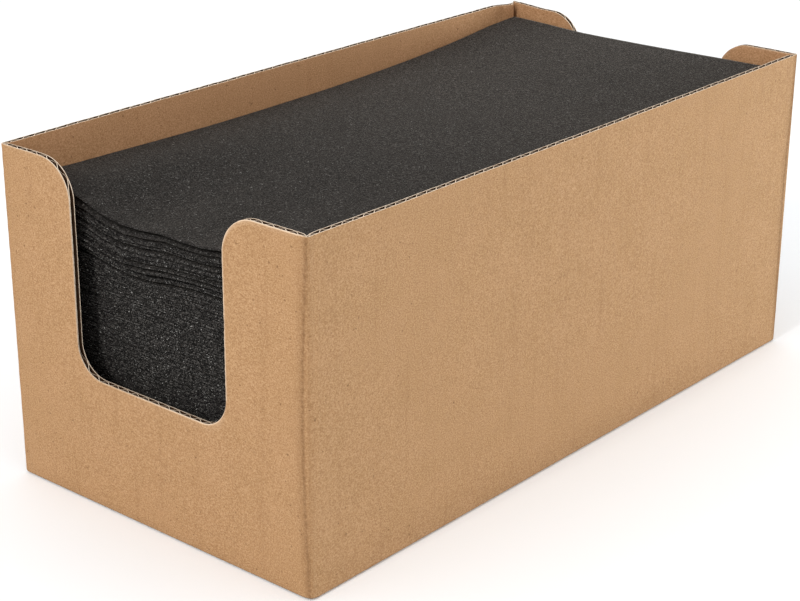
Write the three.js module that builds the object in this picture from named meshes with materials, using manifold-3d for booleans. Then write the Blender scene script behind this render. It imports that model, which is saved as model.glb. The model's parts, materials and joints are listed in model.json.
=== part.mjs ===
// A counter-top napkin dispenser: an open-topped carton, folded from one blank of fluted kraft
// board, with a finger notch in each end wall, holding a stack of eighth-folded napkins.
// Millimetres. X runs across the carton, Y along it and Z up. The front end faces -Y, and the
// origin is under the middle of the carton's outline, on the surface that it stands on.

import * as THREE from 'three';
import { mergeVertices } from 'three/addons/utils/BufferGeometryUtils.js';
import Module from 'manifold-3d';

const wasm = await Module();
wasm.setup();

// The carton's outside, without the glue tab, and its board.
const WIDTH = 103;
const LENGTH = 210;
const HEIGHT = 90.5;
const BOARD = 1.6;
const CREASE_RADIUS = 1.5;
const CREASE_STEPS = 3;
const JOIN_GAP = 0.1;

// The finger notch, which is the same in both end walls. A shift moves it along X.
const NOTCH_WIDTH = 52;
const NOTCH_FLOOR = 35.5;
const NOTCH_INNER_RADIUS = 8.5;
const NOTCH_LIP_RADIUS = 10;
const FRONT_NOTCH_SHIFT = -0.9;
const REAR_NOTCH_SHIFT = -0.3;
const ARC_STEPS = 8;

// The glue tab folds off the rear wall and is stuck to the outside of the left wall, whose cut
// rear end stops short of the rear wall.
const TAB_WIDTH = 10.5;
const TAB_TAPER = 1.5;
const TAB_TOP_DROP = 0.3;
const TAB_BOTTOM = 1.2;
const SEAM = 0.3;
const GLUE = 0.2;
const GLUE_MARGIN = 1;
const END_GAP = 0.9;

// Bottom flaps: the end flaps lie inside, on the two side flaps, which meet at the middle.
const FLAP_CLEARANCE = 0.2;
const FLAP_TAPER = 0.8;
const CENTRE_SEAM = 0.8;
const END_FLAP_LENGTH = 50;

// The stack of napkins. A folded napkin is thinner at its creased front end than at its rear.
const NAPKIN_COUNT = 50;
const NAPKIN_WIDTH = 99;
const NAPKIN_LENGTH = 199;
const STACK_BASE = 2 * (BOARD + FLAP_CLEARANCE);
const FRONT_PITCH = 1.49;
const REAR_PITCH = 1.65;
const NAPKIN_FILL = 0.96;

// How far each napkin's front end is behind the carton's front face. The lower block leans back
// towards the bottom, and the napkins that have been pulled at sit further forward.
const SETBACK_BOTTOM = 8.5;
const SETBACK_BLOCK_TOP = 6.5;
const SETBACK_LOOSE = 5.2;
const LOOSE_COUNT = 8;

const kraft = { color: 0xc69c6d, roughness: 0.9, metalness: 0 };
const innerKraft = { color: 0xb98f62, roughness: 0.92, metalness: 0 };
const adhesive = { color: 0xd9c79a, roughness: 0.45, metalness: 0 };
const napkinPaper = { color: 0x343231, roughness: 0.97, metalness: 0 };

function toSolid(geometry) {
  const bare = geometry.clone();
  bare.deleteAttribute('normal');
  bare.deleteAttribute('uv');
  const merged = mergeVertices(bare);
  return new wasm.Manifold(new wasm.Mesh({
    numProp: 3,
    vertProperties: new Float32Array(merged.attributes.position.array),
    triVerts: new Uint32Array(merged.index.array),
  }));
}

function toGeometry(solid) {
  const mesh = solid.getMesh();
  const geometry = new THREE.BufferGeometry();
  geometry.setAttribute('position', new THREE.BufferAttribute(mesh.vertProperties, 3));
  geometry.setIndex(new THREE.BufferAttribute(mesh.triVerts, 1));
  geometry.computeVertexNormals();
  return geometry;
}

function extrude(shape, depth) {
  return new THREE.ExtrudeGeometry(shape, { depth, bevelEnabled: false, curveSegments: ARC_STEPS });
}

function namedMesh(name, geometry, finish) {
  const mesh = new THREE.Mesh(geometry, new THREE.MeshStandardMaterial(finish));
  mesh.name = name;
  return mesh;
}

// A wall seen from above, in its own frame: x runs along the wall and y goes from its outer face,
// at 0, to its inner face. An end that meets the next wall is mitred behind a rounded crease.
function wallPlan(start, end) {
  const points = [];
  const addEnd = (place, side, creased) => {
    const tip = place - side * JOIN_GAP;
    if (!creased) {
      points.push([tip, 0], [tip, BOARD]);
      return;
    }
    for (let i = 0; i <= CREASE_STEPS; i += 1) {
      const turn = (i / CREASE_STEPS) * (Math.PI / 4);
      const along = tip - side * CREASE_RADIUS * (1 - Math.sin(turn));
      points.push([along, CREASE_RADIUS * (1 - Math.cos(turn))]);
    }
    points.push([tip - side * BOARD, BOARD]);
  };
  addEnd(end.place, 1, end.creased);
  const firstHalf = points.length;
  addEnd(start.place, -1, start.creased);
  const startHalf = points.splice(firstHalf).reverse();
  const outline = [...points, ...startHalf].map(([x, y]) => new THREE.Vector2(x, y));
  return new THREE.Shape(outline);
}

function rectangle(left, bottom, right, top) {
  const shape = new THREE.Shape();
  shape.moveTo(left, bottom);
  shape.lineTo(right, bottom);
  shape.lineTo(right, top);
  shape.lineTo(left, top);
  shape.closePath();
  return shape;
}

// The face of an end wall, with x along the wall and y up.
function notchedFace(middle) {
  const left = middle - NOTCH_WIDTH / 2;
  const right = middle + NOTCH_WIDTH / 2;
  const lip = NOTCH_LIP_RADIUS;
  const inner = NOTCH_INNER_RADIUS;
  const face = new THREE.Shape();
  face.moveTo(-WIDTH, 0);
  face.lineTo(WIDTH, 0);
  face.lineTo(WIDTH, HEIGHT);
  face.absarc(right + lip, HEIGHT - lip, lip, Math.PI / 2, Math.PI, false);
  face.absarc(right - inner, NOTCH_FLOOR + inner, inner, 0, -Math.PI / 2, true);
  face.absarc(left + inner, NOTCH_FLOOR + inner, inner, -Math.PI / 2, -Math.PI, true);
  face.absarc(left - lip, HEIGHT - lip, lip, 0, Math.PI / 2, false);
  face.lineTo(-WIDTH, HEIGHT);
  face.closePath();
  return face;
}

// Cuts a wall's face out of its plan, both in the wall's own frame.
function cutWall(plan, face) {
  const through = extrude(face, 3 * BOARD);
  through.rotateX(Math.PI / 2);
  through.translate(0, 2 * BOARD, 0);
  return toGeometry(toSolid(extrude(plan, HEIGHT)).intersect(toSolid(through)));
}

function placeWall(mesh, quarterTurns, x, y) {
  mesh.rotation.z = quarterTurns * (Math.PI / 2);
  mesh.position.set(x, y, 0);
  return mesh;
}

const rearCorner = LENGTH / 2;
const tabOuterFace = WIDTH / 2 + SEAM + BOARD;
const leftWallEnd = rearCorner - BOARD - END_GAP;

function frontPanel() {
  const plan = wallPlan({ place: -WIDTH / 2, creased: true }, { place: WIDTH / 2, creased: true });
  const geometry = cutWall(plan, notchedFace(FRONT_NOTCH_SHIFT));
  return placeWall(namedMesh('front_panel', geometry, kraft), 0, 0, -LENGTH / 2);
}

function rearPanel() {
  const plan = wallPlan({ place: -WIDTH / 2, creased: true }, { place: tabOuterFace, creased: true });
  const geometry = cutWall(plan, notchedFace(-REAR_NOTCH_SHIFT));
  return placeWall(namedMesh('rear_panel', geometry, kraft), 2, 0, LENGTH / 2);
}

function rightPanel() {
  const plan = wallPlan({ place: -LENGTH / 2, creased: true }, { place: LENGTH / 2, creased: true });
  const geometry = toGeometry(toSolid(extrude(plan, HEIGHT)));
  return placeWall(namedMesh('right_panel', geometry, kraft), 1, WIDTH / 2, 0);
}

function leftPanel() {
  const plan = wallPlan({ place: -leftWallEnd, creased: false }, { place: LENGTH / 2, creased: true });
  const geometry = toGeometry(toSolid(extrude(plan, HEIGHT)));
  return placeWall(namedMesh('left_panel', geometry, kraft), -1, -WIDTH / 2, 0);
}

// The tab's free edge is shorter than its crease.
function glueTab() {
  const crease = -rearCorner;
  const free = crease + TAB_WIDTH;
  const plan = wallPlan({ place: crease, creased: true }, { place: free, creased: false });
  const high = HEIGHT - TAB_TOP_DROP;
  const face = new THREE.Shape();
  face.moveTo(crease, TAB_BOTTOM);
  face.lineTo(free, TAB_BOTTOM + TAB_TAPER);
  face.lineTo(free, high - TAB_TAPER);
  face.lineTo(crease, high);
  face.closePath();
  return placeWall(namedMesh('glue_tab', cutWall(plan, face), kraft), -1, -tabOuterFace, 0);
}

function tabGlue() {
  const low = TAB_BOTTOM + TAB_TAPER + GLUE_MARGIN;
  const high = HEIGHT - TAB_TOP_DROP - TAB_TAPER - GLUE_MARGIN;
  const front = rearCorner - TAB_WIDTH + GLUE_MARGIN;
  const rear = leftWallEnd - GLUE_MARGIN;
  const geometry = new THREE.BoxGeometry(GLUE, rear - front, high - low);
  const mesh = namedMesh('tab_glue', geometry, adhesive);
  mesh.position.set(-WIDTH / 2 - SEAM / 2, (front + rear) / 2, (low + high) / 2);
  return mesh;
}

// A flap in its own frame: x along its crease, y out to its free edge.
function flap(name, crease, length) {
  const shape = new THREE.Shape();
  shape.moveTo(-crease / 2, 0);
  shape.lineTo(crease / 2, 0);
  shape.lineTo(crease / 2 - FLAP_TAPER, length);
  shape.lineTo(-crease / 2 + FLAP_TAPER, length);
  shape.closePath();
  return namedMesh(name, extrude(shape, BOARD), innerKraft);
}

function bottomFlaps() {
  const insideX = WIDTH / 2 - BOARD - FLAP_CLEARANCE;
  const insideY = LENGTH / 2 - BOARD - FLAP_CLEARANCE;
  const left = flap('left_bottom_flap', 2 * insideY, insideX - CENTRE_SEAM / 2);
  left.rotation.z = -Math.PI / 2;
  left.position.set(-insideX, 0, 0);
  const right = flap('right_bottom_flap', 2 * insideY, insideX - CENTRE_SEAM / 2);
  right.rotation.z = Math.PI / 2;
  right.position.set(insideX, 0, 0);
  const front = flap('front_bottom_flap', 2 * insideX, END_FLAP_LENGTH);
  front.position.set(0, -insideY, BOARD + FLAP_CLEARANCE);
  const rear = flap('rear_bottom_flap', 2 * insideX, END_FLAP_LENGTH);
  rear.rotation.z = Math.PI;
  rear.position.set(0, insideY, BOARD + FLAP_CLEARANCE);
  return [left, right, front, rear];
}

function setback(index) {
  const block = NAPKIN_COUNT - LOOSE_COUNT;
  if (index >= block) {
    return SETBACK_LOOSE;
  }
  return THREE.MathUtils.lerp(SETBACK_BOTTOM, SETBACK_BLOCK_TOP, index / (block - 1));
}

// A napkin lies between two planes that tilt with the stack, which is thicker towards the rear.
function napkin(index) {
  const front = setback(index) - LENGTH / 2;
  const half = NAPKIN_WIDTH / 2;
  const geometry = extrude(rectangle(-half, front, half, front + NAPKIN_LENGTH), 1);
  const vertices = geometry.attributes.position;
  for (let i = 0; i < vertices.count; i += 1) {
    const along = vertices.getY(i) / LENGTH + 0.5;
    const pitch = THREE.MathUtils.lerp(FRONT_PITCH, REAR_PITCH, along);
    vertices.setZ(i, (index + NAPKIN_FILL * vertices.getZ(i)) * pitch);
  }
  geometry.computeVertexNormals();
  const number = String(index + 1).padStart(2, '0');
  const mesh = namedMesh(`napkin_${number}`, geometry, napkinPaper);
  mesh.position.z = STACK_BASE + FLAP_CLEARANCE;
  return mesh;
}

const carton = new THREE.Group();
carton.add(frontPanel(), rearPanel(), leftPanel(), rightPanel());
carton.add(glueTab(), tabGlue(), ...bottomFlaps());

const stack = new THREE.Group();
for (let index = 0; index < NAPKIN_COUNT; index += 1) {
  stack.add(napkin(index));
}

const dispenser = new THREE.Group();
dispenser.add(carton, stack);
dispenser.position.x = (tabOuterFace - WIDTH / 2) / 2;

export default dispenser;
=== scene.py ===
"""A counter-top napkin dispenser: an open-topped carton of fluted kraft board, with a finger notch
in each end wall, holding a stack of eighth-folded black napkins.

Every shape below is worked out in millimetres and scaled to metres when its mesh is made.
X runs across the carton, Y along it and Z up. The front end faces -Y."""

import json
import math

import bpy
import numpy as np
from mathutils import Matrix, Vector


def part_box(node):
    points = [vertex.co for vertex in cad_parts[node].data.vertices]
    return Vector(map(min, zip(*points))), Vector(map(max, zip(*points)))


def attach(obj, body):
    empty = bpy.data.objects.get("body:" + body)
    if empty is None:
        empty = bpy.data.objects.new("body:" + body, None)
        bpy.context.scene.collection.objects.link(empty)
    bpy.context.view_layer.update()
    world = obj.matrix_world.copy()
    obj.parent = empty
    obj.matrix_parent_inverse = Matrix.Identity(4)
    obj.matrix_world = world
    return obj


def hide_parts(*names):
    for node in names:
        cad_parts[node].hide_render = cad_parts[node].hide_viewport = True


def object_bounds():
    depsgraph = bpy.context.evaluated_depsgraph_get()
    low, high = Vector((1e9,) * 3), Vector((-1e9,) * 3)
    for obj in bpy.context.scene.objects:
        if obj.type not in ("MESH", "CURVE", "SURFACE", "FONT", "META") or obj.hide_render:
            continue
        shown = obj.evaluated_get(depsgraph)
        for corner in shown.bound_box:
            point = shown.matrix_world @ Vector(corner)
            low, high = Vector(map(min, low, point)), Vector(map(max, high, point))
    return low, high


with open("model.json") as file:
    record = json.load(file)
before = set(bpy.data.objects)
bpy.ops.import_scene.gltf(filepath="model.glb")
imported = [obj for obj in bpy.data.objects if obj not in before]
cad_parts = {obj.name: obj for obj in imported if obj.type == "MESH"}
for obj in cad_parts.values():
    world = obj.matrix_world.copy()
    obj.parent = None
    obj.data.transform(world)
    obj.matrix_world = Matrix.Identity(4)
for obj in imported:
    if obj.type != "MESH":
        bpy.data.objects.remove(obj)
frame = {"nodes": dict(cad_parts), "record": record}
CAD_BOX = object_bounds()
MM = 0.001

# The carton's outside and its board, from the CAD model. Shapes are worked out in the carton's own
# frame, whose X starts from the middle of its width. AXIS is where that middle is in the model.
LOW, HIGH = (np.array(corner) / MM for corner in CAD_BOX)
LENGTH, HEIGHT = HIGH[1] - LOW[1], HIGH[2]
LEFT_FACE, RIGHT_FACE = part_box("left_panel")[0].x / MM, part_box("right_panel")[1].x / MM
WIDTH = RIGHT_FACE - LEFT_FACE
AXIS = (LEFT_FACE + RIGHT_FACE) / 2
BOARD = (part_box("left_bottom_flap")[1].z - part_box("left_bottom_flap")[0].z) / MM
CREASE_RADIUS = 0.9
CRUSHED_BOARD = 0.8
CRUSH_REACH = 2.2
CREASE_STEPS = 6

# The left wall leans out a little at the top, as far back as the glue tab, which holds it.
LEAN = 1.0
LEAN_AT_TAB = 0.15

# The front right crease is rounder halfway up, and blunt at its bottom corner.
CORNER_ROUNDING = 0.75
CORNER_REACH = 1.7
CORNER_BLUNTING = 0.45

# The three papers of the board. The flutes run vertically.
FLUTE_PITCH = 3.61
FLUTE_SAMPLES = 10
LINER = 0.22
MEDIUM = 0.15
MEDIUM_SINK = 0.08
WASHBOARD = 0.014

# How far from an open edge the last two rows of points before it are.
EDGE_STEPS = (0.396, 0.12)

# How many rows of points a wall has below its notch's floor and above it. A wall without a notch
# has PLAIN_ROWS below and above PLAIN_SPLIT.
NOTCHED_ROWS = (16, 44)
PLAIN_ROWS = (6, 14)
PLAIN_SPLIT = 40.0

# How far the walls' faces are from flat: broad dents, wrinkles where the board is crushed, the
# score beside a crease, and the bend that the glue tab's free edge presses into the left wall.
DENT = 0.10
WRINKLE = 0.04
SCORE_DEPTH, SCORE_PLACE, SCORE_WIDTH = 0.10, 2.0, 0.55
BEND_DEPTH, BEND_PLACE, BEND_WIDTH = 0.35, 0.8, 1.4

# How far the cut edges are from straight: slow and quick waves along a wall's top, a rag down the
# sides of a notch, a nick in one of them, and how much shorter the left wall is at the slit.
TOP_WAVE, TOP_FRAY = 0.04, 0.025
NOTCH_RAG = 0.05
NICK_DEPTH, NICK_HEIGHT = 0.45, 0.9
SLIT = 0.8

# How dark the liner is: worn at the floor and on a crease, partly worn and partly painted shade
# along its score, painted shade round that, and painted shade on the bend.
FLOOR_WEAR, CREASE_WEAR, SCORE_MARK_AND_SHADE, HAZE_SHADE, BEND_SHADE = 0.25, 0.22, 0.5, 0.36, 0.5

# The finger notches. The liner is pale for PALE_RIM round them: torn fibre, with a painted
# highlight along the cut.
PALE_RIM = 0.22
NOTCH_WIDTH = 52.0
NOTCH_FLOOR = 35.5
NOTCH_INNER_RADIUS = 8.5
NOTCH_LIP_RADIUS = 10.0
FRONT_NOTCH_SHIFT = -0.9
REAR_NOTCH_SHIFT = -0.3

# The napkins.
NAPKIN_COUNT = sum(name.startswith("napkin_") for name in frame["nodes"])
STACK_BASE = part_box("napkin_01")[0].z / MM
NAPKIN_HALF_WIDTH = 49.5
NAPKIN_LENGTH = 199.0


# ---------------------------------------------------------------- numbers

def wave(values, seed, scale, octaves=3):
    """A smooth, repeatable wobble of about -1 to 1 along values, with features of about scale."""
    rng = np.random.RandomState(seed)
    total = np.zeros_like(np.asarray(values, float))
    for octave in range(octaves):
        length = scale * rng.uniform(0.8, 1.25) / 1.9 ** octave
        total = total + np.sin(2 * math.pi * (values / length + rng.rand())) / 1.7 ** octave
    return total / sum(1 / 1.7 ** octave for octave in range(octaves))


def smooth(value, start, end):
    """0 before start, 1 after end, and a smooth step between them."""
    t = np.clip((value - start) / (end - start), 0, 1)
    return t * t * (3 - 2 * t)


def steps_to_edge(count, length):
    """Shares of length mm from 0 to 1 in count steps. The last two are narrow, so that shading
    does not bend over an open edge."""
    near, nearest = EDGE_STEPS
    even = np.linspace(0, 1, count - 1) * (1 - near / length)
    return np.append(even, (1 - nearest / length, 1))


def linear(red, green, blue):
    """An 8-bit display colour as the linear colour that a shader takes."""
    def one(value):
        value /= 255
        return value / 12.92 if value <= 0.04045 else ((value + 0.055) / 1.055) ** 2.4
    return (one(red), one(green), one(blue), 1.0)


def node_box(name):
    """A CAD node's lowest and highest corners, in mm in the carton's own frame."""
    low, high = (np.array(corner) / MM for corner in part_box(name))
    return low - (AXIS, 0, 0), high - (AXIS, 0, 0)


# ---------------------------------------------------------------- materials

class Nodes:
    """A short way to write a material's node tree."""

    def __init__(self, name):
        self.material = bpy.data.materials.new(name)
        self.material.use_nodes = True
        self.tree = self.material.node_tree
        self.shader = self.tree.nodes["Principled BSDF"]
        self.place = self.add("ShaderNodeTexCoord").outputs["Object"]

    def add(self, kind, **settings):
        node = self.tree.nodes.new(kind)
        for key, value in settings.items():
            setattr(node, key, value)
        return node

    def link(self, source, target):
        self.tree.links.new(source, target)
        return target

    def scaled(self, x, y, z):
        node = self.add("ShaderNodeMapping")
        self.link(self.place, node.inputs["Vector"])
        node.inputs["Scale"].default_value = (x, y, z)
        return node.outputs["Vector"]

    def noise(self, size, stretch=(1, 1, 1), detail=3.0, roughness=0.55, distortion=0.0):
        """Noise whose features are about size mm across, times stretch along each axis."""
        node = self.add("ShaderNodeTexNoise")
        scale = [1 / (size * MM * s) for s in stretch]
        self.link(self.scaled(*scale), node.inputs["Vector"])
        node.inputs["Scale"].default_value = 1.0
        node.inputs["Detail"].default_value = detail
        node.inputs["Roughness"].default_value = roughness
        node.inputs["Distortion"].default_value = distortion
        return node.outputs["Fac"]

    def ramp(self, source, low, high, low_value=0.0, high_value=1.0):
        node = self.add("ShaderNodeMapRange", clamp=True)
        self.link(source, node.inputs["Value"])
        for key, value in (("From Min", low), ("From Max", high),
                           ("To Min", low_value), ("To Max", high_value)):
            node.inputs[key].default_value = value
        return node.outputs["Result"]

    def maths(self, operation, a, b):
        node = self.add("ShaderNodeMath", operation=operation)
        for socket, value in zip(node.inputs, (a, b)):
            if isinstance(value, (int, float)):
                socket.default_value = value
            else:
                self.link(value, socket)
        return node.outputs[0]

    def mix(self, share, a, b):
        node = self.add("ShaderNodeMix", data_type="RGBA", clamp_factor=True)
        for socket, value in ((node.inputs[0], share), (node.inputs[6], a), (node.inputs[7], b)):
            if isinstance(value, (int, float, tuple)):
                socket.default_value = value
            else:
                self.link(value, socket)
        return node.outputs[2]

    def bump(self, height, depth, normal=None):
        """depth is in mm."""
        node = self.add("ShaderNodeBump")
        node.inputs["Strength"].default_value = 1.0
        node.inputs["Distance"].default_value = depth * MM
        self.link(height, node.inputs["Height"])
        if normal is not None:
            self.link(normal, node.inputs["Normal"])
        return node.outputs["Normal"]

    def finish(self, colour, roughness, normal=None, specular=0.3):
        self.link(colour, self.shader.inputs["Base Color"])
        if isinstance(roughness, float):
            self.shader.inputs["Roughness"].default_value = roughness
        else:
            self.link(roughness, self.shader.inputs["Roughness"])
        self.shader.inputs["Specular IOR Level"].default_value = specular
        if normal is not None:
            self.link(normal, self.shader.inputs["Normal"])
        return self.material


def kraft(name, base, dark, light):
    """Unbleached kraft liner: fine grain with short fibres and specks, over faint clouds."""
    n = Nodes(name)
    clouds = n.noise(11, (1.2, 1.2, 1), 3)
    mottle = n.ramp(n.noise(1.5, (1.2, 1.2, 1), 3), 0.3, 0.72)
    grain = n.noise(0.34, (1.25, 1.25, 1), 2, 0.8)
    pores = n.noise(0.8, (1, 1, 1), 2, 0.7, 0.5)
    colour = n.mix(n.ramp(clouds, 0.3, 0.7, 0.0, 0.16), base, light)
    colour = n.mix(n.ramp(clouds, 0.62, 0.36, 0.0, 0.12), colour, linear(160, 130, 86))
    colour = n.mix(n.ramp(mottle, 0.3, 1.0, 0.0, 0.18), colour, dark)
    colour = n.mix(n.ramp(grain, 0.5, 0.68, 0.0, 0.8), colour, dark)
    colour = n.mix(n.ramp(grain, 0.5, 0.34, 0.0, 0.75), colour, light)
    colour = n.mix(n.ramp(pores, 0.6, 0.7, 0.0, 0.3), colour, dark)
    streak = n.noise(2.6, (1, 1, 14), 3, 0.6)
    colour = n.mix(n.ramp(streak, 0.55, 0.72, 0.0, 0.18), colour, dark)
    fibre = n.noise(1.0, (3.0, 3.0, 0.3), 2, 0.6, 0.6)
    colour = n.mix(n.ramp(fibre, 0.62, 0.72, 0.0, 0.4), colour, dark)
    fleck = n.noise(1.1, (1, 1, 1), 1, 0.5)
    colour = n.mix(n.ramp(fleck, 0.735, 0.79, 0.0, 0.65), colour, linear(108, 76, 46))
    # Above 0 the liner is dark: worn, as on a crease, and painted shade along a score and on a
    # bend. Below 0 it is pale: torn fibre, with a painted highlight along a notch's cut edge.
    wear_and_painted_light = n.add("ShaderNodeAttribute", attribute_name="crease").outputs["Fac"]
    ragged = n.ramp(n.noise(1.1, (1, 1, 0.8), 3, 0.7), 0.3, 0.7, 0.35, 1.0)
    colour = n.mix(n.maths("MULTIPLY", wear_and_painted_light, ragged), colour, linear(116, 82, 50))
    colour = n.mix(n.maths("MULTIPLY", wear_and_painted_light, -0.8), colour, linear(244, 218, 190))
    normal = n.bump(grain, 0.05)
    normal = n.bump(mottle, 0.03, normal)
    normal = n.bump(fibre, 0.03, normal)
    wrinkle = n.noise(1.3, (2.5, 2.5, 0.6), 3, 0.65, 0.8)
    normal = n.bump(n.maths("MULTIPLY", wrinkle, wear_and_painted_light), 0.3, normal)
    return n.finish(colour, n.ramp(mottle, 0, 1, 0.88, 0.76), normal, 0.22)


def cut_edge(name):
    """Where the blank was die-cut, torn fibre shows: paler than the liner's face."""
    n = Nodes(name)
    rag = n.noise(0.4, (1, 1, 1), 3, 0.7)
    patch = n.noise(2.0, (1, 1, 1), 2)
    colour = n.mix(n.ramp(rag, 0.35, 0.7), linear(248, 232, 212), linear(216, 188, 158))
    colour = n.mix(n.ramp(patch, 0.55, 0.7, 0.0, 0.5), colour, linear(168, 130, 94))
    return n.finish(colour, 0.92, n.bump(rag, 0.06), 0.15)


def fluting_with_painted_shade(name):
    """The medium, and the liners' glued sides: recycled paper, painted darker than it is as shade
    for the hollows of the flutes.
    """
    n = Nodes(name)
    rag = n.noise(0.6, (1, 1, 2.5), 3, 0.65)
    colour = n.mix(n.ramp(rag, 0.3, 0.72), linear(58, 41, 28), linear(80, 57, 38))
    return n.finish(colour, 0.95, n.bump(rag, 0.04), 0.1)


def airlaid(name):
    """Black airlaid napkin: a soft felt of short fibres. Along its folds it has painted shade, with
    specks of painted shade and of painted highlight among the fibres.
    """
    n = Nodes(name)
    felt = n.noise(0.5, (1, 1, 1), 2, 0.8)
    clouds = n.noise(7, (1, 1, 1), 4)
    web = n.noise(1.3, (1, 1, 1), 2, 0.6, 0.8)
    fold = n.add("ShaderNodeAttribute", attribute_name="crease").outputs["Fac"]
    fold_shading_strength = n.ramp(fold, 0.0, 1.0, 0.5, 1.0)
    colour = n.mix(n.ramp(clouds, 0.3, 0.72), linear(28, 26, 24), linear(33, 30, 28))
    # Painted shade: darker along the folds at the stack's front, with specks of painted shade among
    # the fibres.
    colour = n.mix(n.ramp(fold, 0.0, 1.0, 0.0, 0.6), colour, linear(14, 13, 13))
    shade = n.maths("MULTIPLY", n.ramp(felt, 0.5, 0.62, 0.0, 1.0), fold_shading_strength)
    colour = n.mix(shade, colour, linear(9, 8, 8))
    # Painted highlights: lighter specks and glints along the folds.
    shine = n.maths("MULTIPLY", n.ramp(felt, 0.5, 0.36, 0.0, 0.95), fold_shading_strength)
    colour = n.mix(shine, colour, linear(88, 85, 82))
    glint = n.noise(0.5, (1, 1, 1), 1, 0.5, 1.0)
    spark = n.maths("MULTIPLY", n.ramp(glint, 0.66, 0.74, 0.0, 1.0), fold_shading_strength)
    colour = n.mix(spark, colour, linear(160, 158, 154))
    normal = n.bump(felt, 0.16)
    normal = n.bump(web, 0.08, normal)
    material = n.finish(colour, 0.96, normal, 0.12)
    # Painted sheen: the sheen grows towards the rear, standing in for the brighter grazing light
    # there, and varies with the felt.
    where = n.add("ShaderNodeSeparateXYZ")
    n.link(n.place, where.inputs[0])
    rear_painted_sheen = n.ramp(where.outputs["Y"], -0.06, 0.1, 0.63, 1.5)
    felt_and_painted_sheen = n.maths("MULTIPLY", n.ramp(felt, 0.62, 0.36, 0.12, 0.46), rear_painted_sheen)
    n.link(felt_and_painted_sheen, n.shader.inputs["Sheen Weight"])
    n.shader.inputs["Sheen Roughness"].default_value = 0.3
    n.shader.inputs["Sheen Tint"].default_value = linear(190, 179, 167)
    return material


def dried_glue(name):
    n = Nodes(name)
    film = n.noise(2.5, (1, 1, 1), 3)
    colour = n.mix(n.ramp(film, 0.3, 0.7), linear(214, 196, 150), linear(188, 160, 112))
    return n.finish(colour, n.ramp(film, 0.3, 0.7, 0.32, 0.55), n.bump(film, 0.08), 0.5)


OUTER = kraft("kraft_outer", linear(169, 130, 91), linear(141, 103, 67), linear(193, 156, 117))
# The inner liner is the same kraft with painted light: lighter and redder, standing in for the
# light reflected inside the carton.
INNER_PAINTED_LIGHT = kraft("kraft_inner_painted_light", linear(184, 138, 98), linear(154, 110, 72), linear(207, 163, 123))
EDGE = cut_edge("kraft_cut_edge")
# The medium's dark colour is partly painted shade, for the flutes' hollows.
FLUTE_PAINTED_SHADE = fluting_with_painted_shade("fluting_medium_painted_shade")
NAPKIN = airlaid("black_airlaid")
GLUE = dried_glue("dried_glue")


# ---------------------------------------------------------------- meshes

def shell(front, back, mask, face, reverse, rim):
    """A closed thin solid between two grids of points, over the quads where mask is true.
    face, reverse and rim are the material numbers of its front, back and edges."""
    rows, columns = mask.shape
    count = (rows + 1) * (columns + 1)
    number = np.arange(count).reshape(rows + 1, columns + 1)
    a, b = number[:-1, :-1], number[:-1, 1:]
    c, d = number[1:, 1:], number[1:, :-1]
    fronts = np.stack([a, b, c, d], -1)[mask]
    backs = np.stack([a, d, c, b], -1)[mask] + count
    padded = np.pad(mask, 1)
    inside = padded[1:-1, 1:-1]
    rims = []
    for start, end, beyond in (
        (a, b, padded[:-2, 1:-1]),
        (b, c, padded[1:-1, 2:]),
        (c, d, padded[2:, 1:-1]),
        (d, a, padded[1:-1, :-2]),
    ):
        open_edge = inside & ~beyond
        s, e = start[open_edge], end[open_edge]
        rims.append(np.stack([e, s, s + count, e + count], -1))
    rims = np.concatenate(rims)
    faces = np.concatenate([fronts, backs, rims])
    kinds = np.concatenate([
        np.full(len(fronts), face), np.full(len(backs), reverse), np.full(len(rims), rim)])
    points = np.concatenate([front.reshape(-1, 3), back.reshape(-1, 3)])
    return points, faces, kinds, len(rims)


def joined(parts):
    """Several shells as one list of points, faces, material numbers and smooth flags."""
    points, faces, kinds, soft, start = [], [], [], [], 0
    for p, f, k, rims in parts:
        points.append(p)
        faces.append(f + start)
        kinds.append(k)
        flag = np.ones(len(f), bool)
        flag[len(f) - rims:] = False
        soft.append(flag)
        start += len(p)
    return [np.concatenate(x) for x in (points, faces, kinds, soft)]


def leaned(points, share=1.0):
    """points in the carton's frame, moved by its left wall's lean and its front right crease."""
    x, y, z = points.T
    level = np.clip(z / HEIGHT, 0, 1)
    along = LEAN_AT_TAB + (LEAN - LEAN_AT_TAB) * (1 - smooth(y, 91, 95.5))
    near = smooth(x, -18, -WIDTH / 2)
    out = along * near * level ** 1.15
    reach = np.exp(-((x - WIDTH / 2) ** 2 + (y + LENGTH / 2) ** 2) / CORNER_REACH ** 2)
    rounding = CORNER_ROUNDING * np.sin(math.pi * level) * reach / math.sqrt(2)
    blunt = CORNER_BLUNTING * reach * np.exp(-(z / 1.5) ** 2)
    return points + np.stack([-out * share - rounding, rounding, blunt], -1)


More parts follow.
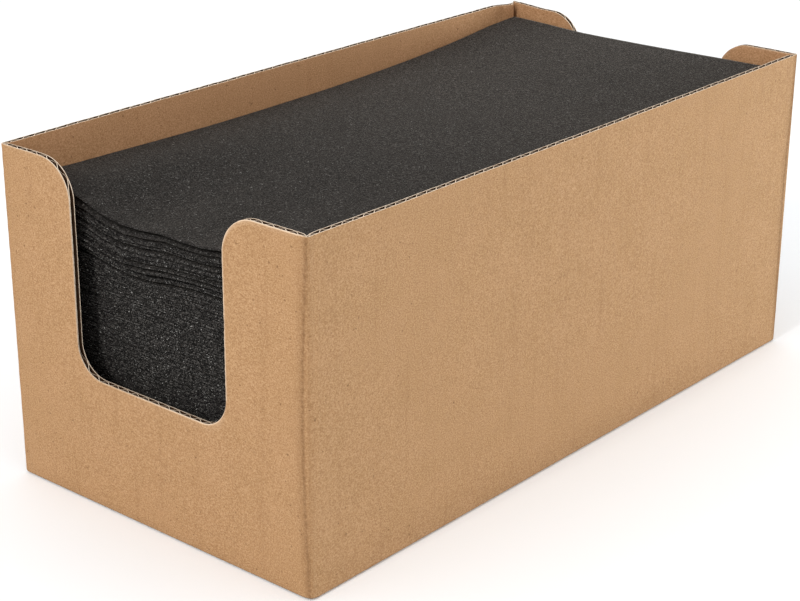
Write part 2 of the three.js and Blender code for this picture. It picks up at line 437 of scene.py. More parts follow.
def make_piece(name, parts, materials, body, nodes, marks=None, lean=1.0):
    """Turns shells in mm into one Blender object that rides on a body."""
    points, faces, kinds, soft = joined(parts)
    used = np.zeros(len(points), bool)
    used[faces.ravel()] = True
    renumber = np.cumsum(used) - 1
    faces = renumber[faces]
    mesh = bpy.data.meshes.new(name)
    mesh.vertices.add(int(used.sum()))
    placed = leaned(points[used], lean) + (AXIS, 0, 0)
    mesh.vertices.foreach_set("co", (placed * MM).ravel())
    mesh.loops.add(faces.size)
    mesh.loops.foreach_set("vertex_index", faces.ravel())
    mesh.polygons.add(len(faces))
    mesh.polygons.foreach_set("loop_start", np.arange(0, faces.size, 4))
    mesh.polygons.foreach_set("material_index", kinds.astype(np.int32))
    mesh.polygons.foreach_set("use_smooth", soft)
    for material in materials:
        mesh.materials.append(material)
    mesh.update(calc_edges=True)
    mesh.validate()
    if marks is not None:
        layer = mesh.attributes.new("crease", "FLOAT", "POINT")
        layer.data.foreach_set("value", marks(points[used]).astype(np.float32))
    piece = bpy.data.objects.new(name, mesh)
    bpy.context.scene.collection.objects.link(piece)
    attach(piece, body)
    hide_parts(*nodes)
    return piece


def grid_normals(points):
    """Unit normals of a grid of points."""
    along = np.gradient(points, axis=1)
    up = np.gradient(points, axis=0)
    normal = np.cross(along, up)
    return normal / np.maximum(np.linalg.norm(normal, axis=-1, keepdims=True), 1e-12)


# ---------------------------------------------------------------- fluted board

class Wall:
    """A vertical wall's own frame: a runs along it, left to right seen from outside, and depth
    goes in from its outer face."""

    def __init__(self, origin, along, inward):
        self.origin = np.array(origin, float)
        self.along = np.array(along, float)
        self.inward = np.array(inward, float)

    def point(self, a, depth, z):
        flat = (self.origin + np.multiply.outer(a, self.along)
                + np.multiply.outer(depth, self.inward))
        return np.concatenate([flat, np.broadcast_to(z, flat.shape[:-1])[..., None]], -1)


def wall_columns(start, end, extra=()):
    """Columns from crease to crease. Each end is (place, creased). A column has the place of its
    outer point, its inward direction, and the length of board up to it."""
    rows = []
    arc = math.pi / 4
    steps = CREASE_STEPS
    left = start[0] + (CREASE_RADIUS if start[1] else 0)
    right = end[0] - (CREASE_RADIUS if end[1] else 0)
    if start[1]:
        for i in range(steps):
            turn = arc * (1 - i / steps)
            rows.append((left - CREASE_RADIUS * math.sin(turn),
                         CREASE_RADIUS * (1 - math.cos(turn)),
                         math.sin(turn), math.cos(turn), left - CREASE_RADIUS * turn))
    step = FLUTE_PITCH / FLUTE_SAMPLES
    plain = np.arange(math.ceil(left / step) * step, right, step)
    places = np.unique(np.round(np.concatenate([[left, right], plain]), 4))
    fine = np.arange(1, 15) * 0.2
    extra = np.concatenate([extra, left + fine if start[1] else [], right - fine if end[1] else []])
    if len(extra):
        near = np.abs(places[:, None] - extra[None, :]).min(1)
        places = np.sort(np.concatenate([places[near > 0.09], extra]))
    keep = np.concatenate([[True], np.diff(places) > 0.02])
    rows += [(a, 0.0, 0.0, 1.0, a) for a in places[keep]]
    if end[1]:
        for i in range(1, steps + 1):
            turn = arc * i / steps
            rows.append((right + CREASE_RADIUS * math.sin(turn),
                         CREASE_RADIUS * (1 - math.cos(turn)),
                         -math.sin(turn), math.cos(turn), right + CREASE_RADIUS * turn))
    return np.array(rows).T


def notch_marks(middle):
    """The places along a wall where the notch's curves need columns of their own."""
    left, right = middle - NOTCH_WIDTH / 2, middle + NOTCH_WIDTH / 2
    turns = np.radians(np.arange(0, 91, 5))
    lip = NOTCH_LIP_RADIUS * (1 - np.sin(turns))
    inner = NOTCH_INNER_RADIUS * (1 - np.sin(turns))
    return np.round(np.concatenate([left - lip, right + lip, left + inner, right - inner]), 5)


def notch_heights(a, middle):
    """For each column: the height of the cut, or of the notch's lower corners outside it; the
    height of the wall's top; and whether the column is inside the notch."""
    half = NOTCH_WIDTH / 2
    off = np.abs(a - middle)
    inner, lip = NOTCH_INNER_RADIUS, NOTCH_LIP_RADIUS
    into = np.clip(inner - (half - off), 0, inner)
    floor = NOTCH_FLOOR + inner - np.sqrt(np.maximum(inner ** 2 - into ** 2, 0))
    out = np.clip(lip - (off - half), 0, lip)
    top = HEIGHT - lip + np.sqrt(np.maximum(lip ** 2 - out ** 2, 0))
    return np.where(off <= half, floor, NOTCH_FLOOR + inner), top, off <= half + 1e-6


def notch_distance(a, z, middle):
    """How far each point of a wall is from the notch's outline, or from the wall's top."""
    half, inner, lip = NOTCH_WIDTH / 2, NOTCH_INNER_RADIUS, NOTCH_LIP_RADIUS
    off = np.abs(a - middle)
    into = np.clip(off - half + inner, 0, inner)
    floor = NOTCH_FLOOR + inner - np.sqrt(inner ** 2 - into ** 2)
    low = np.hypot(np.maximum(off - half + inner, 0), np.minimum(z - NOTCH_FLOOR - inner, 0))
    # Rows of points are far apart below the notch, so there the distance counts more downwards.
    low = np.maximum(np.abs(low - inner), 0.75 * (floor - z))
    high = np.hypot(np.minimum(off - half - lip, 0), np.maximum(z - HEIGHT + lip, 0))
    return np.where(z < (HEIGHT + NOTCH_FLOOR) / 2, low, np.abs(high - lip))


def board(place, columns, mask, crush, seed, touch=0.0, medium_mask=None):
    """The three papers of a stretch of fluted board, as shells.
    place(depth, sink) gives points; columns[4] is the length along the board; crush is from 0 to
    1 over the grid, where the board is flattened; touch is where the medium meets the outer
    liner. The medium stops a little short of the board's cut edges."""
    length = columns[4][None, :] + 0 * crush
    washboard = WASHBOARD * np.cos(2 * math.pi * length / FLUTE_PITCH) * (1 - crush)
    thick = BOARD - (BOARD - CRUSHED_BOARD) * crush
    outer = place(washboard, 0)
    outer_back = place(LINER + washboard, 0)
    inner = place(thick - washboard, 0)
    inner_back = place(thick - LINER - washboard, 0)
    room = (thick - 2 * LINER - MEDIUM) / 2
    turn = 2 * math.pi * (length - touch) / FLUTE_PITCH
    drift = 0.3 * wave(length, seed + 5, 31) * smooth(np.abs(length - touch), 2, 12)
    depth = thick / 2 - room * 0.97 * np.cos(turn + drift)
    middle = place(depth, MEDIUM_SINK)
    offset = grid_normals(middle) * MEDIUM / 2
    return [
        shell(outer, outer_back, mask, 0, 2, 3),
        shell(middle + offset, middle - offset, mask if medium_mask is None else medium_mask,
              2, 2, 3),
        shell(inner_back, inner, mask, 2, 1, 3),
    ]


def wall_rows(lower, upper, low_curve, high_curve):
    """Rows for a wall: turn is the angle round the bottom crease and z the height above it."""
    steps = CREASE_STEPS - 1
    turns = np.linspace(math.pi / 4, 0, steps + 1)
    turn = np.concatenate([turns, np.zeros(lower + upper)])
    z = np.zeros((len(turn), len(low_curve)))
    z[:steps + 1] = CREASE_RADIUS
    for i, share in enumerate(steps_to_edge(lower, NOTCH_FLOOR)):
        z[steps + i] = CREASE_RADIUS + (low_curve - CREASE_RADIUS) * share
    for i, share in enumerate(steps_to_edge(upper, HEIGHT - NOTCH_FLOOR)):
        z[steps + lower + i] = low_curve + (high_curve - low_curve) * share
    return turn[:, None] + 0 * z, z


def make_wall(name, wall, start, end, middle, node, seed, bulge, touch=0.0, calm=None, nick=None,
              droop=None, bend=None):
    """One wall of the carton, with the half of each crease that belongs to it. middle is where
    its notch is, calm is how much of the bulge and dents each place gets, nick is where the
    notch's edge at the end side is nicked, droop is how far the top is worn down, and bend is
    where a narrow vertical strip is pressed out."""
    marks = notch_marks(middle) if middle is not None else ()
    columns = wall_columns(start, end, marks)
    a = columns[4]
    lower, upper = PLAIN_ROWS if middle is None else NOTCHED_ROWS
    if middle is None:
        low_curve, high_curve = np.full(len(a), PLAIN_SPLIT), np.full(len(a), HEIGHT)
        inside = np.zeros(len(a), bool)
        edges = 0 * a
    else:
        low_curve, high_curve, inside = notch_heights(columns[0], middle)
        edges = (np.abs(np.abs(columns[0] - middle) - NOTCH_WIDTH / 2) < 0.02) * 1.0
    high_curve = high_curve + TOP_WAVE * wave(a, seed, 17)
    high_curve = high_curve + TOP_FRAY * wave(a, seed + 9, 1.9, 2)
    if droop is not None:
        high_curve = high_curve - droop(a)
    turn, z = wall_rows(lower, upper, low_curve, high_curve)
    mask = np.ones((z.shape[0] - 1, z.shape[1] - 1), bool)
    cut = inside[:-1] & inside[1:]
    mask[-upper:, cut] = False
    medium_mask = mask.copy()
    medium_mask[-upper:, :-1] &= ~cut[1:]
    medium_mask[-upper:, 1:] &= ~cut[:-1]

    from_start = a - a[0] if start[1] else np.full(len(a), 99.0)
    from_end = a[-1] - a if end[1] else np.full(len(a), 99.0)
    near_crease = np.minimum(from_start, from_end)[None, :] + 0 * z
    near_floor = np.where(turn > 0, 0, z - CREASE_RADIUS)
    crush = np.maximum(np.exp(-(near_crease / CRUSH_REACH) ** 2),
                       np.exp(-(near_floor / CRUSH_REACH) ** 2))
    span = (columns[0][None, :] - (start[0] + end[0]) / 2) / ((end[0] - start[0]) / 2)
    belly = bulge * (1 - span ** 2) * np.sin(np.clip(z / HEIGHT, 0, 1) * math.pi * 0.62 + 0.25)
    dents = DENT * wave(columns[0][None, :] + 0.4 * z, seed + 1, 61, 2) * wave(z, seed + 2, 47, 2)
    share = 1.0 if calm is None else calm(columns[0])[None, :]
    score = SCORE_DEPTH * np.exp(-((near_crease - SCORE_PLACE) / SCORE_WIDTH) ** 2)
    wrinkles = WRINKLE * crush * wave(z + 0.3 * a[None, :], seed + 3, 4.3, 2)
    lift = (wrinkles + score - dents * (1 - crush) * share - belly * share) * (turn == 0)
    if bend is not None:
        pressed = np.exp(-((columns[0] - bend) / BEND_WIDTH) ** 2)
        lift = lift - BEND_DEPTH * pressed * (turn == 0)
    rag = NOTCH_RAG * wave(z, seed + 7, 3.1, 2) * edges * np.sign(columns[0] - (middle or 0))
    if nick is not None:
        bite = NICK_DEPTH * np.exp(-((z - nick) / NICK_HEIGHT) ** 2)
        rag = rag + bite * edges * (columns[0] > middle)

    def place(depth, sink):
        inset = np.where(turn > 0, CREASE_RADIUS - (CREASE_RADIUS - depth) * np.cos(turn), depth)
        height = np.where(turn > 0, CREASE_RADIUS - (CREASE_RADIUS - depth) * np.sin(turn),
                          z - sink * smooth(z, CREASE_RADIUS, 12))
        inset = inset + lift
        return wall.point(columns[0] + rag + inset * columns[2],
                          columns[1] + inset * columns[3], height)

    parts = board(place, columns, mask, crush, seed, touch, medium_mask)
    return make_piece(name, parts, [OUTER, INNER_PAINTED_LIGHT, FLUTE_PAINTED_SHADE, EDGE], "carton",
                      [node], wall_mark(wall, start, end, middle, bend))


def wall_mark(wall, start, end, middle=None, bend=None):
    """How dark each point is: a line along the score at a wall's end side, which bows away from the
    crease halfway up, partly worn and partly painted shade, with painted shade round it;
    a faint worn band on the crease itself; and painted shade along a bend. The cut edge of a wall
    with a notch is pale instead, torn fibre with a painted highlight, and most so at the notch's
    end side."""
    def mark(points):
        flat = points[:, :2] - wall.origin
        a = flat @ wall.along
        z = points[:, 2]
        wear_and_painted_light = np.exp(-((z - 0.2) / 0.6) ** 2) * FLOOR_WEAR
        for (place, creased), side in ((start, -1), (end, 1)):
            if creased:
                off = (place - a) * side
                wear_and_painted_light = np.maximum(wear_and_painted_light, np.exp(-(off / 1.2) ** 2) * CREASE_WEAR)
            if creased and side > 0:
                score = 0.6 + 1.5 * np.sin(math.pi * np.clip(z / HEIGHT, 0, 1)) ** 1.5
                score = score + 0.15 * wave(z, 3, 9)
                # The score line is partly worn and partly painted shade; round it is painted shade
                # where the rounder crease turns away.
                line = SCORE_MARK_AND_SHADE * np.exp(-((off - score) / 0.5) ** 2)
                painted_crease_shade = HAZE_SHADE * np.exp(-((off - score - 0.4) / 1.5) ** 2)
                wear_and_painted_light = np.maximum(wear_and_painted_light, line + painted_crease_shade)
        # Painted shade along the bend, where the wall turns away.
        if bend is not None:
            wear_and_painted_light = np.maximum(wear_and_painted_light, BEND_SHADE * np.exp(-((a - bend + 0.6) / 1.3) ** 2))
        wear_and_painted_light = np.clip(wear_and_painted_light, 0, 1)
        # Paler round a notch: torn fibre, with a painted highlight along the cut.
        if middle is not None:
            pale = np.exp(-(notch_distance(a, z, middle) / PALE_RIM) ** 2)
            wear_and_painted_light = wear_and_painted_light - pale * (0.3 + 0.7 * smooth(a - middle, -20, 20))
        return wear_and_painted_light
    return mark


HALF_W, HALF_L = WIDTH / 2, LENGTH / 2
TAB_FACE = node_box("rear_panel")[0][0]
LEFT_WALL_END = node_box("left_panel")[1][1] - SLIT
FRONT = Wall((0, -HALF_L), (1, 0), (0, 1))
RIGHT = Wall((HALF_W, 0), (0, 1), (-1, 0))
REAR = Wall((0, HALF_L), (-1, 0), (0, -1))
LEFT = Wall((-HALF_W, 0), (0, -1), (1, 0))


def rear_droop(a):
    """The rear wall's top is worn down towards the slit at the rear left corner."""
    return 1.2 * smooth(a, 14, 30) - 0.7 * smooth(a, 38, 51)


def left_droop(a):
    """So is the left wall's, on the other side of the slit."""
    return 0.6 * smooth(a, -LEFT_WALL_END + 7, -LEFT_WALL_END)


def left_calm(a):
    """The left wall is held flat by the glue tab."""
    return smooth(a, -LEFT_WALL_END + 10, -70)


make_wall("front_panel_board", FRONT, (-HALF_W, True), (HALF_W, True), FRONT_NOTCH_SHIFT,
          "front_panel", 11, 0.2, touch=FRONT_NOTCH_SHIFT - NOTCH_WIDTH / 2, nick=63.0)
make_wall("right_panel_board", RIGHT, (-HALF_L, True), (HALF_L, True), None,
          "right_panel", 23, 0.45)
make_wall("rear_panel_board", REAR, (-HALF_W, True), (-TAB_FACE, True), -REAR_NOTCH_SHIFT,
          "rear_panel", 37, 0.2, droop=rear_droop)
make_wall("left_panel_board", LEFT, (-LEFT_WALL_END, False), (HALF_L, True), None,
          "left_panel", 41, 0.3, calm=left_calm, droop=left_droop,
          bend=BEND_PLACE - node_box("glue_tab")[0][1])


# ---------------------------------------------------------------- tab and flaps

def glue_tab():
    """The tab folds off the rear wall and lies outside the left wall."""
    low, high = (corner[2] for corner in node_box("glue_tab"))
    crease, free = -HALF_L, -node_box("glue_tab")[0][1]
    frame_of_tab = Wall((TAB_FACE, 0), (0, -1), (1, 0))
    columns = wall_columns((crease, True), (free, False))
    taper = 1.5
    share = (columns[0] - crease) / (free - crease)
    bottom, top = low + taper * share, high - 0.6 - taper * share
    rows = steps_to_edge(30, HEIGHT)[:, None]
    rows = np.insert(rows, 1, 1 - rows[-2], axis=0)
    z = bottom[None, :] * (1 - rows) + top[None, :] * rows
    crush = np.exp(-((columns[4] - columns[4][0])[None, :] / CRUSH_REACH) ** 2) + 0 * z
    buckle = 0.05 * wave(z, 71, 60, 2) * smooth(columns[0], crease + 2, free)[None, :]

    def place(depth, sink):
        inset = depth - np.abs(buckle)
        return frame_of_tab.point(columns[0] + inset * columns[2],
                                  columns[1] + inset * columns[3], z - sink * rows)

    mask = np.ones((z.shape[0] - 1, z.shape[1] - 1), bool)
    parts = board(place, columns, mask, crush, 53)
    mark = wall_mark(frame_of_tab, (crease, True), (free, False))
    make_piece("glue_tab_board", parts, [OUTER, INNER_PAINTED_LIGHT, FLUTE_PAINTED_SHADE, EDGE], "carton",
               ["glue_tab"], mark)


def tab_glue():
    """A squashed line of glue, between the tab and the left wall."""
    lo, hi = node_box("tab_glue")
    z = np.linspace(lo[2], hi[2], 61)[:, None]
    across = np.linspace(0, 1, 9)[None, :]
    left = lo[1] + 0.6 + 0.5 * wave(z, 81, 19)
    right = hi[1] - 0.6 + 0.5 * wave(z, 83, 15)
    y = left * (1 - across) + right * across
    thick = (hi[0] - lo[0]) / 2 * (1 - 0.6 * (2 * across - 1) ** 4) + 0 * z
    middle = (lo[0] + hi[0]) / 2
    z = z + 0 * y
    front = np.stack([middle + thick, y, z], -1)
    back = np.stack([middle - thick, y, z], -1)
    mask = np.ones((60, 8), bool)
    make_piece("tab_glue_film", [shell(front, back, mask, 0, 0, 0)], [GLUE], "carton",
               ["tab_glue"])


def side_flap(name, wall, node, seed):
    """A bottom flap that carries on from the crease under a side wall to the middle seam."""
    lo, hi = node_box(node)
    half = (hi[1] - lo[1]) / 2
    reach = HALF_W - min(abs(lo[0]), abs(hi[0]))
    columns = wall_columns((-half, False), (half, False))
    steps = CREASE_STEPS
    turn = np.concatenate([np.linspace(math.pi / 4, math.pi / 2, steps + 1),
                           np.full(14, math.pi / 2)])[:, None]
    run = np.concatenate([np.zeros(steps + 1), [0.4, 0.9, 1.5],
                          steps_to_edge(11, reach)[1:] * (reach - CREASE_RADIUS)])[:, None]
    taper = 1 - 0.8 / half * run / (reach - CREASE_RADIUS)
    run = run + 0 * columns[0][None, :]
    crush = np.exp(-(run / CRUSH_REACH) ** 2)

    def place(depth, sink):
        inset = CREASE_RADIUS - (CREASE_RADIUS - depth) * np.cos(turn) + run
        inset = inset - sink * smooth(run, 0, reach - CREASE_RADIUS)
        height = CREASE_RADIUS - (CREASE_RADIUS - depth) * np.sin(turn)
        return wall.point(columns[0][None, :] * taper + 0 * inset, inset, height + 0 * inset)

    mask = np.ones((run.shape[0] - 1, run.shape[1] - 1), bool)
    parts = board(place, columns, mask, crush, seed)
    mark = lambda points: np.exp(-((np.abs(points[:, 0]) - HALF_W) / 1.5) ** 2) * 0.4
    make_piece(name, parts, [OUTER, INNER_PAINTED_LIGHT, FLUTE_PAINTED_SHADE, EDGE], "carton", [node], mark)


def end_flap(name, wall, node, seed):
    """A bottom flap of an end wall, lying on the two side flaps."""
    lo, hi = node_box(node)
    half = (hi[0] - lo[0]) / 2
    near, far = sorted(HALF_L - abs(y) for y in (lo[1], hi[1]))
    columns = wall_columns((-half, False), (half, False))
    run = np.concatenate([near + np.array([0, 0.3, 0.7, 1.2, 2, 3.5]),
                          near + steps_to_edge(13, far)[2:] * (far - near)])[:, None]
    taper = 1 - 0.8 / half * (run - near) / (far - near)
    run = run + 0 * columns[0][None, :]
    crush = np.exp(-((run - near) / CRUSH_REACH) ** 2)

    def place(depth, sink):
        height = lo[2] + depth + 0.4 * crush
        return wall.point(columns[0][None, :] * taper + 0 * run,
                          run - sink * smooth(run, near, far), height)

    mask = np.ones((run.shape[0] - 1, run.shape[1] - 1), bool)
    parts = board(place, columns, mask, crush, seed)
    mark = lambda points: np.exp(-((np.abs(points[:, 1]) - HALF_L + near) / 1.5) ** 2) * 0.4
    make_piece(name, parts, [OUTER, INNER_PAINTED_LIGHT, FLUTE_PAINTED_SHADE, EDGE], "carton", [node], mark)


glue_tab()
tab_glue()
side_flap("left_bottom_flap_board", LEFT, "left_bottom_flap", 61)
side_flap("right_bottom_flap_board", RIGHT, "right_bottom_flap", 63)
end_flap("front_bottom_flap_board", FRONT, "front_bottom_flap", 65)
end_flap("rear_bottom_flap_board", REAR, "rear_bottom_flap", 67)


# ---------------------------------------------------------------- napkins

# A napkin is folded in half three times. Its sheet is 4 panels wide (i) by 2 long (j), and
# this is the level of each panel in the folded stack of 8 plies, from the bottom up.
LEVELS = np.array([[0, 3], [7, 4], [6, 5], [1, 2]], float)
PLIES = 8
PANEL_COLUMNS = 16
PANEL_ROWS = 26
CREASE_COLUMNS = 6
SHEET_SHARE = 0.8
REAR_PITCH = 1.65
PLY = 0.19
# The top napkins have been pulled at, and are loose. The block below them is packed tight.
LOOSE = 8
BLOCK = NAPKIN_COUNT - LOOSE
# The height of the front of the stack: how many napkins are below it, and the height in mm.
BLOCK_STEPS = ((0, 18, BLOCK - 1.05, BLOCK - 0.95, BLOCK), (STACK_BASE, 32.4, 64.4, 65.2, 66.5))
# How far the loose napkins start above the block, and how uneven the stack's front is.
LOOSE_GAP = 0.9
ROUGHNESS = 0.09
# The sag of the block's top, behind the front notch: how far across, and how far up.
BLOCK_SAG = ((-38, -31, -25, -18, -13, -8, -3, 2, 8, 14, 21, 30, 50),
             (1.4, 1.0, -0.3, -1.5, -2.1, -1.9, -1.2, -0.4, 0.1, 0.3, 0.4, 0.5, 0.6))
# The top's height along the stack, and its sag behind the front notch, across it.
TOP_PROFILE = ((0, 60, 110, 150, 168, 186, 200, 230),
               (81.0, 81.3, 81.8, 82.1, 82.7, 83.6, 84.5, 86.4))
TOP_SAG = ((-50, -38, -32, -27, -22, -17, -12, -7, -2, 3, 8, 13, 18, 24, 32, 50),
           (1.0, 1.1, 0.9, -0.5, -2.2, -3.4, -3.8, -3.5, -2.75, -2.5, -3.1, -3.1, -2.4, -1.5, -0.8,
            -0.3))
# How much higher the top is at its rear right, lower along the left wall, and higher where its
# rear left corner curls up; the height of its ripples; and how far back the sag goes.
RIGHT_RISE = 2.4
LEFT_DIP = 1.25
CORNER_CURL = 1.3
RIPPLE = 0.3
SAG_REACH = 84
# The upper half of the top napkin, the gap under it and the roll below that, at the front. The
# upper half is TOP_FORWARD in front of the napkins below, and TOP_OVERHANG in front of the roll.
TOP_FOLD = 0.55
TOP_GAP = 1.1
# Where, between its bottom and its top, the top napkin's lower half ends.
TOP_HALF = 0.48
TOP_ROLL = ((-32, 24), (2.15, 1.05))
TOP_ROLL_SWELL = 2.6
TOP_FORWARD = 0.3
TOP_OVERHANG = ((-30, -6), (0.65, 1.25))
# How far behind the carton's front the napkins' fronts are: the loose ones, and by number in the
# block. The loose ones lie askew, so that their left sides reach LOOSE_SKEW further back.
LOOSE_FRONT = 4.7
BLOCK_FRONT = ((0, BLOCK - 2, BLOCK - 1), (9.6, 7.0, 6.5))
LOOSE_SKEW = 2.0
REAR_GAP = 2.3
# How far a napkin's front is out of line, at random and in waves across it: first for a napkin
# in the block, then for a loose one.
JITTER = (0.13, 0.35)
WOBBLE = (0.1, 0.25)
# How much of its pitch a napkin fills at the front.
BLOCK_FILL, LOOSE_FILL, TOP_FILL = 0.82, 0.66, 0.86
ROW_CROWDING = 1.35


def sheet_samples(panels, per_panel):
    """Samples across a folded sheet. Each has the share of every panel in it, whether it goes
    out (1) or back (-1) along its panel, its place in the panel, and its turn in a crease."""
    shares, places, turns = [], [], []
    spread = steps_to_edge(per_panel, NAPKIN_HALF_WIDTH)
    spread = np.insert(spread, 1, 1 - spread[-2])
    for i in range(panels):
        for t in spread:
            share = np.zeros(panels)
            share[i] = 1
            shares.append(share)
            places.append(t)
            turns.append(np.nan)
        if i < panels - 1:
            for step in range(1, CREASE_COLUMNS):
                turn = -math.pi / 2 + math.pi * step / CREASE_COLUMNS
                share = np.zeros(panels)
                share[i] = (1 - math.sin(turn)) / 2
                share[i + 1] = (1 + math.sin(turn)) / 2
                shares.append(share)
                places.append(np.nan)
                turns.append(turn)
    return np.array(shares), np.array(places), np.array(turns)


def top_height(x, y):
    """The height of the top of the stack. It sags behind the notch, rises to the rear and more
    so at its right, is lower along the left wall, and curls up at its rear left corner."""
    s = y + HALF_L
    along = np.interp(s, *TOP_PROFILE)
    along = along + RIGHT_RISE * smooth(s, 140, 215) * smooth(x, -45, 35)
    beside_wall = smooth(-x, 32, 49) * smooth(s, 2, 16) * (1 - smooth(s, 110, 175))
    along = along - LEFT_DIP * beside_wall
    along = along + CORNER_CURL * smooth(-x, 18, 50) * smooth(s, 165, 206)
    fade = 1 - smooth(s, 2, SAG_REACH)
    sag = np.interp(x, *TOP_SAG)
    ripple = RIPPLE * np.sin(x / 17 + s / 60) * smooth(s, 20, 90)
    return along + sag * fade + ripple


def soft_top(x, y):
    """top_height, averaged round each point, so that it has no sharp bends."""
    total, weights = 0, 0
    for dx in (-3, -1, 1, 3):
        for dy in (-15, -10, -5, 0, 5, 10, 15):
            weight = math.exp(-(dy / 9) ** 2)
            total = total + weight * top_height(x + dx, y + dy)
            weights += weight
    return total / weights


def stack_height(x, y, h):
    """The height of a point in the stack, h napkins above its base. The block is flat, and the
    loose napkins above it share the shape of the top more and more. At the front, the top
    napkin's upper half lifts off a thicker roll."""
    s = y + HALF_L
    top = soft_top(x, y)
    rear = STACK_BASE + h * REAR_PITCH
    spare = top - STACK_BASE - NAPKIN_COUNT * REAR_PITCH
    rear = rear + spare * np.clip((h - 30) / 20, 0, 1) ** 1.5
    roll = np.interp(x, *TOP_ROLL)
    loose_top = top - TOP_FOLD - TOP_GAP - roll
    loose = (h - BLOCK) / (LOOSE - 1)
    block_sag = sum(np.interp(x + dx, *BLOCK_SAG) for dx in (-2, 0, 2)) / 3
    loose_base = BLOCK_STEPS[1][-1] + block_sag + LOOSE_GAP
    loose_part = loose_base + (loose_top - loose_base) * loose
    upper = np.where(h < NAPKIN_COUNT - 1 + TOP_HALF,
                     loose_top + roll * (h - NAPKIN_COUNT + 1) / TOP_HALF,
                     top - TOP_FOLD * (NAPKIN_COUNT - h) / TOP_HALF)
    front = np.where(h < BLOCK, np.interp(h, *BLOCK_STEPS) + block_sag * smooth(h, 33, BLOCK),
                     np.where(h < NAPKIN_COUNT - 1, loose_part, upper))
    rough = ROUGHNESS * wave(h + 0 * x, 5, 2.6, 2) * (0.4 + 0.6 * wave(x, 6, 55, 2))
    front = front + rough * smooth(h, 0, 3) * (h < NAPKIN_COUNT - 1)
    share = smooth(s, 6, 60)
    straight = s / LENGTH
    even = STACK_BASE + h * (top - STACK_BASE) / NAPKIN_COUNT
    deep = even * (1 - straight) + rear * straight
    return front * (1 - share) + deep * share


def front_place(x, index, bundle):
    """How far a bundle's front edge is behind the carton's front face."""
    rng = np.random.RandomState(900 + 2 * index + bundle)
    loose = index >= BLOCK
    lean = np.interp(index, *BLOCK_FRONT)
    base = LOOSE_FRONT + 0.3 * math.sin(index * 1.9) if loose else lean
    jitter = rng.normal(0, JITTER[loose])
    wobble = WOBBLE[loose] * wave(x, 300 + 2 * index + bundle, 42)
    return base + np.clip(jitter, -0.55, 0.55) + wobble


def napkin(index):
    rng = np.random.RandomState(500 + index)
    u_share, u_place, u_turn = sheet_samples(4, PANEL_COLUMNS)
    v_share, v_place, v_turn = sheet_samples(2, PANEL_ROWS)
    # Radii of the creases: by crease and row half across, and by panel along.
    spine = np.abs(LEVELS[1:] - LEVELS[:-1]) / 2 * PLY
    fold = np.abs(LEVELS[:, 1] - LEVELS[:, 0]) / 2 * PLY
    is_top = index == NAPKIN_COUNT - 1
    if is_top:
        fold = fold * np.where(LEVELS[:, 1] < PLIES / 2, TOP_ROLL_SWELL, 1.0)
    left = -NAPKIN_HALF_WIDTH + rng.uniform(-0.1, 0.3)
    right = NAPKIN_HALF_WIDTH - rng.uniform(-0.1, 0.35)
    spine_line = left + 3.5 * PLY
    far_line = right - 0.5 * PLY
    open_edge = right - rng.uniform(0, 0.7, 2)

    level = np.einsum("ui,vj,ij->vu", u_share, v_share, LEVELS)
    x = np.zeros((len(v_share), len(u_share)))
    for k in range(len(u_share)):
        if np.isnan(u_turn[k]):
            i = int(np.argmax(u_share[k]))
            ends = [(open_edge[0], spine_line), (spine_line, far_line),
                    (far_line, spine_line), (spine_line, open_edge[1])][i]
            x[:, k] = ends[0] + (ends[1] - ends[0]) * u_place[k]
        else:
            crease = int(np.flatnonzero(u_share[k] > 0)[0])
            radius = v_share @ spine[crease]
            side = 1 if crease == 1 else -1
            line = far_line if crease == 1 else spine_line
            x[:, k] = line + side * radius * math.cos(u_turn[k])

    lower = u_share[:, 0] + u_share[:, 3]
    x_flat = x[len(x) // 2]
    front = (lower * front_place(x_flat, index, 0) + (1 - lower) * front_place(x_flat, index, 1))
    if is_top:
        front = front - TOP_FORWARD + np.interp(x_flat, *TOP_OVERHANG) * lower
    front_line = front - HALF_L + 1.5 * PLY
    mean_front = front_place(np.zeros(1), index, 0)[0]
    rear = mean_front - HALF_L + NAPKIN_LENGTH
    skew = LOOSE_SKEW if index >= BLOCK else 0.0
    y = np.zeros_like(x)
    for k in range(len(v_share)):
        if np.isnan(v_turn[k]):
            j = int(np.argmax(v_share[k]))
            cut = rear + 0.35 * wave(level[k] * 7.0 + x[k] / 60, 700 + index, 9, 2)
            cut = np.minimum(cut + skew * smooth(-x[k], -15, 45), HALF_L - REAR_GAP)
            t = v_place[k] if j == 1 else 1 - v_place[k]
            # Rows are closer together near the front, where the stack is seen from the side.
            y[k] = front_line + (cut - front_line) * t ** ROW_CROWDING
        else:
            y[k] = front_line - (u_share @ fold) * math.cos(v_turn[k])

    # Napkins lie a little apart, which shows as a groove between their folds.
    fill = BLOCK_FILL if index < BLOCK else TOP_FILL if is_top else LOOSE_FILL
    share = (level + 0.5 - PLIES / 2) / PLIES * fill + 0.5
    z = stack_height(x, y, index + share)
    middle = np.stack([x, y, z], -1)
    offset = grid_normals(middle) * (SHEET_SHARE * PLY / 2)
    mask = np.ones((x.shape[0] - 1, x.shape[1] - 1), bool)
    parts = [shell(middle + offset, middle - offset, mask, 0, 0, 0)]
    front_edge = float(front_line.min())
    # Where a napkin's painted fold shade and highlights go: along its front, faint on the top
    # napkin.
    fold_shading_strength = 0.05 if is_top else 1.0
    fold_shading_marks = lambda points: fold_shading_strength * (1 - smooth(points[:, 1], front_edge + 0.6, front_edge + 2.4))
    number = f"{index + 1:02d}"
    node = f"napkin_{number}"
    body = next(b for b, members in frame["record"]["behaviour"]["bodies"].items()
                if node in members)
    piece = make_piece(f"folded_napkin_{number}", parts, [NAPKIN], body, [node],
                       fold_shading_marks, 0.9)


for number in range(NAPKIN_COUNT):
    napkin(number)


# ---------------------------------------------------------------- studio

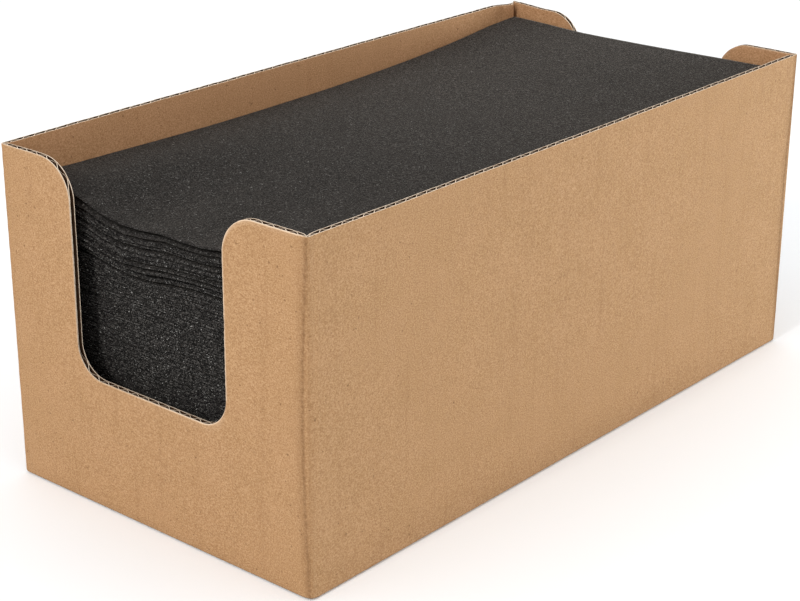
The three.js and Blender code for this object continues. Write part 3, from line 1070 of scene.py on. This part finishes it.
# The camera's azimuth, elevation and roll in degrees, its place in metres and its lens in mm.
CAMERA_TURN = (40.27, 21.72, -0.43)
CAMERA_PLACE = (0.32884, -0.40004, 0.23687)
CAMERA_LENS = 89.22
SENSOR = 36
# Each lamp's place and target in metres, its size, its power in watts and its colour.
KEY = ((0.08, -1.3, 0.93), (0, 0, 0.05), (0.2, 0.2), 8.3, (1.0, 0.985, 0.965))
LOW_CARD = ((0.4, 0.46, 0.07), (0.05, 0.05, 0.04), (0.3, 0.08), 1.4, (0.89, 1.0, 1.03))
WORLD_LIGHT = 0.98
FLOOR_TONES = ((0.955, 0.967, 0.982, 1), (0.963, 0.975, 0.99, 1))
# The floor is this far below the carton, so that their faces do not share a plane.
FLOOR_DROP = 0.00005


def camera():
    """The camera stands off the front right corner and looks down a little."""
    azimuth, elevation, roll = (math.radians(d) for d in CAMERA_TURN)
    back = Vector((math.sin(azimuth) * math.cos(elevation),
                   -math.cos(azimuth) * math.cos(elevation), math.sin(elevation)))
    right = (-back).cross(Vector((0, 0, 1))).normalized()
    up = right.cross(-back)
    side = math.cos(roll) * right - math.sin(roll) * up
    over = math.sin(roll) * right + math.cos(roll) * up
    data = bpy.data.cameras.new("camera")
    data.sensor_width = SENSOR
    data.lens = CAMERA_LENS
    data.clip_start, data.clip_end = 0.01, 50
    eye = bpy.data.objects.new("camera", data)
    axes = Matrix((side, over, back)).transposed().to_4x4()
    eye.matrix_world = Matrix.Translation(CAMERA_PLACE) @ axes
    bpy.context.scene.collection.objects.link(eye)
    bpy.context.scene.camera = eye


def softbox(name, place, target, size, power, colour):
    """A rectangular soft lamp that the camera does not see."""
    data = bpy.data.lights.new(name, "AREA")
    data.shape = "RECTANGLE"
    data.size, data.size_y = size
    data.energy = power
    data.color = colour
    lamp = bpy.data.objects.new(name, data)
    lamp.location = place
    lamp.visible_camera = False
    lamp.rotation_mode = "QUATERNION"
    lamp.rotation_quaternion = (Vector(target) - Vector(place)).to_track_quat("-Z", "Y")
    bpy.context.scene.collection.objects.link(lamp)


def studio():
    """A pale floor that fades into an even white light, and the two lamps."""
    n = Nodes("pale_floor")
    tone = n.noise(400, (1, 1, 1), 2)
    colour = n.mix(n.ramp(tone, 0.3, 0.7), *FLOOR_TONES)
    n.finish(colour, 0.9, None, 0.05)
    mesh = bpy.data.meshes.new("floor")
    size = 4
    mesh.from_pydata([(-size, -size, 0), (size, -size, 0), (size, size, 0), (-size, size, 0)],
                     [], [(0, 1, 2, 3)])
    mesh.materials.append(n.material)
    floor = bpy.data.objects.new("floor", mesh)
    floor.location.z = -FLOOR_DROP
    bpy.context.scene.collection.objects.link(floor)
    world = bpy.data.worlds.new("studio")
    world.use_nodes = True
    background = world.node_tree.nodes["Background"]
    background.inputs["Color"].default_value = (1.0, 1.0, 1.0, 1)
    background.inputs["Strength"].default_value = WORLD_LIGHT
    bpy.context.scene.world = world
    softbox("key", *KEY)
    softbox("low_card", *LOW_CARD)
    view = bpy.context.scene.view_settings
    view.view_transform = "Standard"
    view.look = "None"


camera()
studio()
